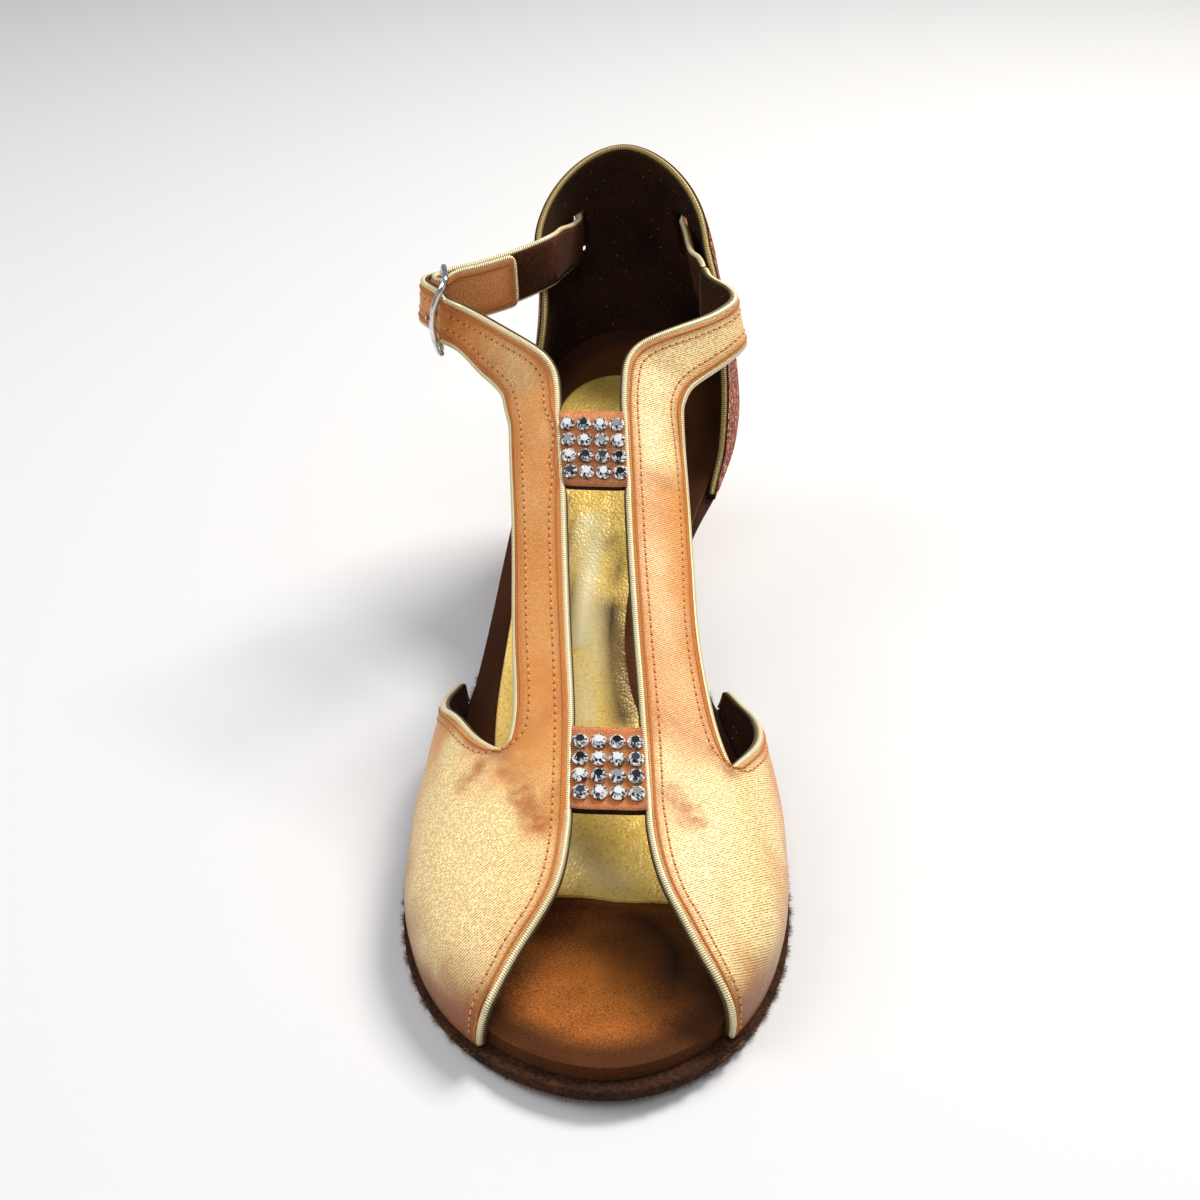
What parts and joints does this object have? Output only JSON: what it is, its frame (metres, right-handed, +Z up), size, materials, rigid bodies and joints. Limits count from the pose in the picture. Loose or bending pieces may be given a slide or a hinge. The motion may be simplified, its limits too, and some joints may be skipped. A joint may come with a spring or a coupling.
{
  "type": "ballroom dance shoe",
  "caption": "Lady's open-toe Latin dance sandal for the right foot: satin vamp with a split T-bar, crystal bridges, glitter heel counter, buckled ankle strap and a flared heel.",
  "frame": {"origin": "on the floor under the tread, the widest part of the sole, at the middle of the toe's width", "axes": "+Z up, -Y towards the toe and +Y towards the heel, +X towards the inner side of the foot (this is a right shoe)"},
  "size_m": [0.0915, 0.2344, 0.1169],
  "materials": {
    "upper_satin": "tan satin with a fine diagonal twill",
    "glitter_fabric": "copper-red glitter",
    "piping_gold": "pale gold braided piping",
    "lining_suede": "dark brown suede lining",
    "insole_suede": "brown suede, matte",
    "sole_suede": "brushed chrome suede, fuzzy edge",
    "gold_leather": "pebbled metallic gold leather",
    "heel_satin": "tan satin over a hard heel",
    "tip_rubber": "matte dark rubber",
    "buckle_chrome": "polished wire",
    "crystal": "faceted, foil-backed"
  },
  "bodies": {
    "root": {"outsole": "sole_suede", "insole": "insole_suede", "sock": "gold_leather", "heel": "heel_satin", "heel_tip": "tip_rubber", "upper": "upper_satin", "counter": "glitter_fabric", "ankle_strap": "upper_satin", "buckle_frame": "buckle_chrome", "buckle_prong": "buckle_chrome", "stone_1_1_1": "crystal", "stone_1_1_2": "crystal", "stone_1_1_3": "crystal", "stone_1_1_4": "crystal", "stone_1_2_1": "crystal", "stone_1_2_2": "crystal", "stone_1_2_3": "crystal", "stone_1_2_4": "crystal", "stone_1_3_1": "crystal", "stone_1_3_2": "crystal", "stone_1_3_3": "crystal", "stone_1_3_4": "crystal", "stone_1_4_1": "crystal", "stone_1_4_2": "crystal", "stone_1_4_3": "crystal", "stone_1_4_4": "crystal", "stone_2_1_1": "crystal", "stone_2_1_2": "crystal", "stone_2_1_3": "crystal", "stone_2_1_4": "crystal", "stone_2_2_1": "crystal", "stone_2_2_2": "crystal", "stone_2_2_3": "crystal", "stone_2_2_4": "crystal", "stone_2_3_1": "crystal", "stone_2_3_2": "crystal", "stone_2_3_3": "crystal", "stone_2_3_4": "crystal", "stone_2_4_1": "crystal", "stone_2_4_2": "crystal", "stone_2_4_3": "crystal", "stone_2_4_4": "crystal"}
  },
  "joints": []
}
